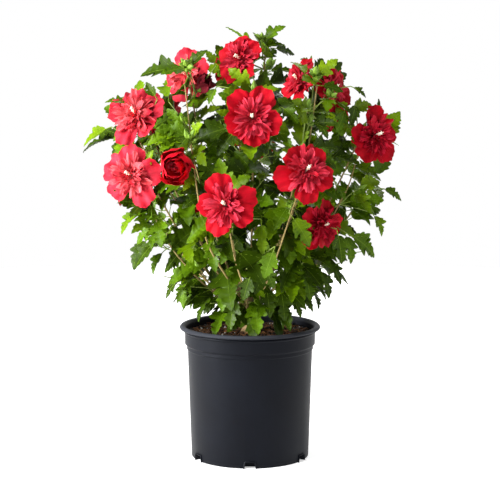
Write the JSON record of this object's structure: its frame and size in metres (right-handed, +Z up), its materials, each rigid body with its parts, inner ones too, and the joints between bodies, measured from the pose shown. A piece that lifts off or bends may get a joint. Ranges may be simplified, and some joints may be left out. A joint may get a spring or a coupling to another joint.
{
  "type": "potted hibiscus shrub",
  "caption": "Bushy hibiscus shrub in a round black nursery pot, with large double red blooms, three-lobed toothed leaves and slender upright stems.",
  "frame": {"origin": "middle of the pot's flat underside, on the surface that the pot stands on", "axes": "+Z up the plant; -Y towards the front, over one of the pot's foot notches; +X to the right seen from the front"},
  "size_m": [0.527, 0.4621, 0.706],
  "materials": {
    "pot_plastic": "satin",
    "potting_mix": "crumbly bark and peat",
    "bark": "thin ribbed bark",
    "foliage": "soft leaf and petal"
  },
  "bodies": {
    "root": {"pot": "pot_plastic", "potting_mix": "potting_mix", "trunk": "bark", "bough_top": "bark", "bough_upper_left": "bark", "bough_upper_right": "bark", "bough_back_top": "bark", "bough_left": "bark", "bough_front_left": "bark", "bough_centre": "bark", "bough_front_right": "bark", "bough_right": "bark", "bough_back_right": "bark", "bough_back": "bark", "bough_back_left": "bark", "bough_left_low": "bark", "bough_front_low": "bark", "bough_right_mid": "bark", "bough_back_right_low": "bark", "bough_back_left_low": "bark", "bough_right_low": "bark", "bough_left_skirt": "bark", "bough_back_low": "bark", "bough_front_skirt_left": "bark", "bough_front_skirt": "bark", "bough_front_skirt_right": "bark", "bough_right_skirt": "bark", "bough_back_skirt": "bark", "bough_back_skirt_left": "bark", "bough_back_skirt_right": "bark", "foliage_top": "foliage", "foliage_upper_left": "foliage", "foliage_upper_right": "foliage", "foliage_back_top": "foliage", "foliage_left": "foliage", "foliage_front_left": "foliage", "foliage_centre": "foliage", "foliage_front_right": "foliage", "foliage_right": "foliage", "foliage_back_right": "foliage", "foliage_back": "foliage", "foliage_back_left": "foliage", "foliage_left_low": "foliage", "foliage_front_low": "foliage", "foliage_right_mid": "foliage", "foliage_back_right_low": "foliage", "foliage_back_left_low": "foliage", "foliage_right_low": "foliage", "foliage_left_skirt": "foliage", "foliage_back_low": "foliage", "foliage_front_skirt_left": "foliage", "foliage_front_skirt": "foliage", "foliage_front_skirt_right": "foliage", "foliage_right_skirt": "foliage", "foliage_back_skirt": "foliage", "foliage_back_skirt_left": "foliage", "foliage_back_skirt_right": "foliage"}
  },
  "joints": []
}
